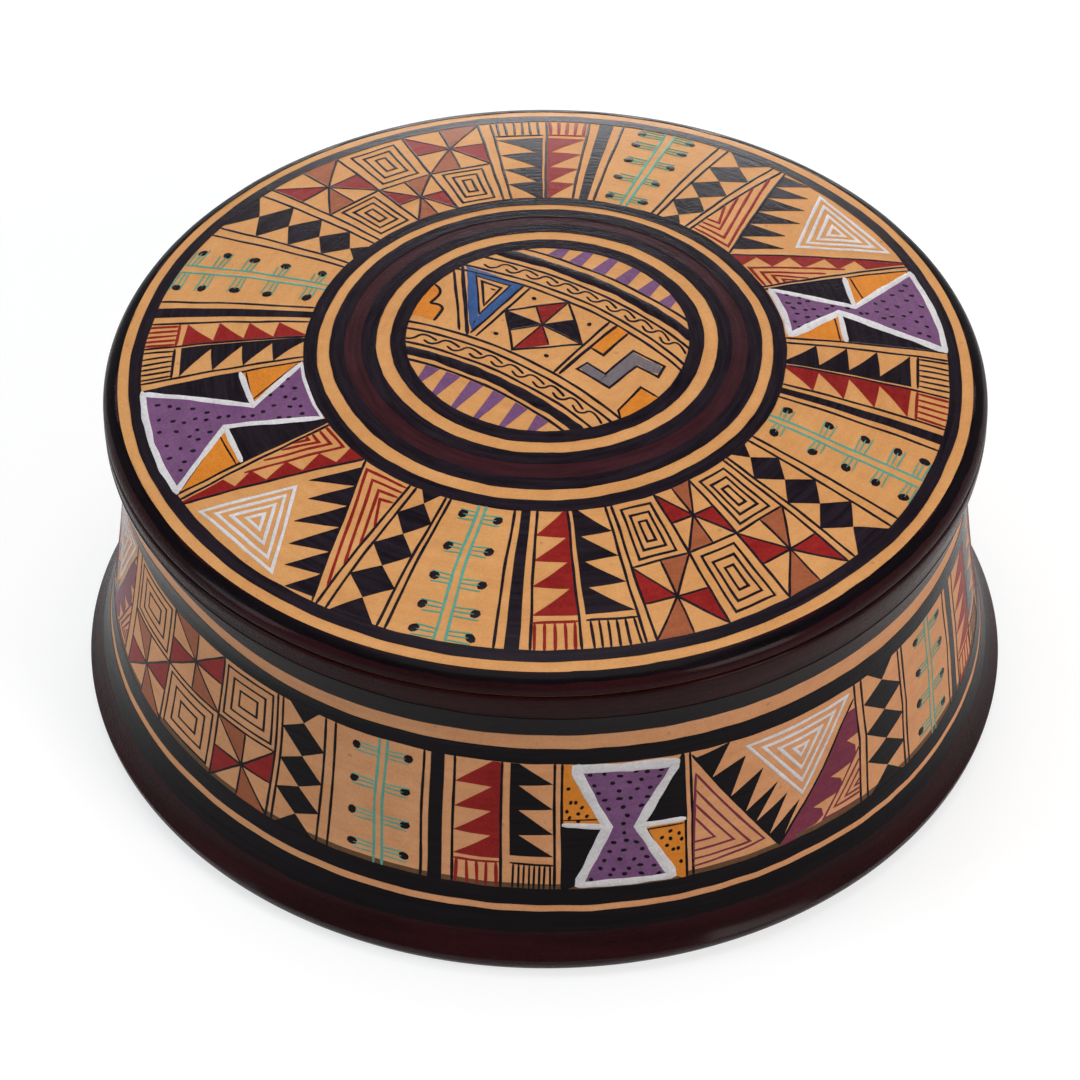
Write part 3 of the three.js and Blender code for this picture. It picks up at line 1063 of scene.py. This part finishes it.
border_top, border_bottom = tilted(34.6, 2.2), tilted(13.4, 1.3)
wall_fields = [
    ("H", -182.6, -162.9), ("E", -161.0, -127.6), ("F", -126.7, -119.9), ("A", -118.4, -105.8),
    ("B", -105.8, -101.7), ("C", -101.6, -95.5), ("D", -94.4, -88.7), ("G", -87.75, -71.6),
    ("H", -70.7, -44.6), ("F", -43.3, -35.4), ("A", -34.5, -22.2), ("B", -22.2, -18.3),
    ("C", -18.2, -11.6), ("D", -11.3, -4.2),
]


def wall_panel(left, right):
    """u goes round the wall from the left angle to the right one, and v down between the two bands.
    Lines that go down the wall lean by up to 3.3 degrees at its left and bow by up to 0.9 at its right."""
    def place(share):
        angle = np.radians(left + (right - left) * share[..., 0])
        cosine, v = np.cos(angle), share[..., 1]
        lean = 3.3 * np.minimum(cosine, 0) ** 2 * (0.5 - v)
        bow = 0.9 * np.maximum(cosine, 0) * (4 * v * (1 - v) - 1)
        angle = angle + np.radians(lean + bow)
        height = border_top(angle) * (1 - v) + border_bottom(angle) * v
        return np.stack([angle * WALL_PLAN_RADIUS, height], -1)

    return Panel(wall_ground, place)


wall_motifs = lid_motifs | {
    "A": lambda panel: laces(panel, [0.115, 0.385, 0.645, 0.88], (0.5, 0.587), (0.26, 0.82)),
    "B": lambda panel: bars(panel, 0.0, 0.22, 0.66, 1.0),
    "E": lambda panel: checker(panel, mirrored=True),
    "F": lambda panel: diamonds(panel, (0.13, 0.4, 0.65, 0.87), 0.06),
    "G": lambda panel: hourglass(
        panel,
        [(0.093, 0.035), (0.365, 0.515), (0.12, 0.965)], [(0.945, 0.055), (0.61, 0.525), (0.89, 0.965)],
        (0.485, 0.53), (1.45, 1.45, 1.6, 1.2, 1.0), dotted=True,
    ),
    "H": wall_wedges,
}
for half_turn in (0, 180):
    shifted = [(kind, left + half_turn, right + half_turn) for kind, left, right in wall_fields]
    draw_fields(shifted, wall_panel, wall_motifs)
ring(wall_ground, "cream", tilted(12.9, 1.3), tilted(35.2, 2.2), "ground")
ring(wall_ground, "cream", tilted(37.0, 1.75, 3.0), tilted(40.6, 1.6, 4.2), "ground")
ring(wall_ground, "cream", tilted(9.5, 0.75), tilted(11.0, 0.95), "ground")
ring(wall_ground, "stain", tilted(13.2, 1.3), tilted(14.2, 1.3), "stain")
ring(wall_ground, "black", border_top, tilted(37.3, 1.75, 3.0))
ring(wall_ground, "black", tilted(40.35, 1.6, 4.2), tilted(44.5, 1.9))
ring(wall_ground, "black", tilted(10.8, 0.95), border_bottom)
ring(wall_ground, "black", 6.8, tilted(9.8, 0.75))

# The coats of one colour on one face are one thin piece of dried paint, and each rides with its face.
# Black is mixed from fine clay and dries streaky; white is the thickest; the rest are thin and even.
# Each mix: paint, material, slot, deep colour, bright colour, and how it dries. A paint that looks different
# on one face is found there by the face's name before its own.
STREAKY = {"grain_share": 0.4, "streaks": 1700.0, "rough": (0.15, 0.27)}
EVEN = {"grain_share": 0.8}
mixes = [
    ("cream", "wall_cream_slip", "cream_slip", (206, 141, 95), (230, 166, 119), CREAM_TEXTURE),
    ("maroon", "maroon_ring_slip", "maroon_slip", (46, 20, 25), (66, 32, 38), {"grain_share": 0.35}),
    ("stain", "cream_stain", "cream_slip", (82, 58, 40), (116, 84, 58), EVEN),
    ("black", "black_slip", "black_slip", (7, 4, 6), (22, 15, 20), STREAKY),
    # Painted light: the black on the lid's top is the same black slip as on the lid's edge and the wall,
    # mixed lighter there to stand in for the brighter light and reflection that the lid's top catches.
    ("lid_black", "lid_black_with_painted_light", "black_slip", (18, 12, 18), (42, 33, 42), STREAKY),
    ("red", "red_slip", "red_slip", (122, 22, 22), (160, 42, 38), EVEN),
    ("brown", "brown_slip", "brown_slip", (146, 76, 48), (172, 100, 66), EVEN),
    ("white", "white_slip", "white_slip", (198, 191, 193), (238, 234, 234), EVEN | {"relief": 0.00008}),
    ("purple", "purple_slip", "purple_slip", (104, 66, 104), (134, 92, 134), EVEN),
    ("orange", "orange_slip", "orange_slip", (206, 116, 34), (232, 146, 56), EVEN),
    ("turquoise", "turquoise_slip", "turquoise_slip", (74, 146, 130), (102, 176, 158), EVEN),
    ("blue", "blue_slip", "blue_slip", (40, 70, 124), (66, 98, 150), EVEN),
    ("grey", "grey_slip", "grey_slip", (100, 90, 96), (128, 118, 122), EVEN),
    ("plum", "plum_slip", "plum_slip", (104, 40, 58), (132, 58, 76), EVEN),
]
paints = {}
for paint, name, slot, deep, bright, texture in mixes:
    paints[paint] = (slip(name, colour(*deep), colour(*bright), **texture), slot)
for ground in (lid_ground, edge_ground, wall_ground):
    for paint, coats in ground.coats.items():
        material, slot = paints.get(f"{ground.name}_{paint}", paints[paint])
        vertices, faces, used = [], [], 0
        for points, closed in coats:
            stations, around = points.shape[:2]
            here = used + np.arange(around) + around * np.arange(stations)[:, None]
            behind = here if closed else here[:-1]
            ahead = np.roll(here, -1, axis=0) if closed else here[1:]
            quads = [behind, np.roll(behind, -1, axis=1), np.roll(ahead, -1, axis=1), ahead]
            faces += np.stack(quads, 2).reshape(-1, 4).tolist()
            if not closed:
                faces += [here[0, ::-1].tolist(), here[-1].tolist()]
            vertices.append(points.reshape(-1, 3))
            used += stations * around
        mesh = bpy.data.meshes.new(f"{ground.name}_{paint}_paint")
        mesh.from_pydata((np.concatenate(vertices) * MM).tolist(), [], faces)
        mesh.materials.append(material)
        mesh.shade_smooth()
        mesh.set_sharp_from_angle(angle=PAINT_SHARP_ANGLE)
        piece = bpy.data.objects.new(mesh.name, mesh)
        bpy.context.scene.collection.objects.link(piece)
        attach(piece, ground.body)
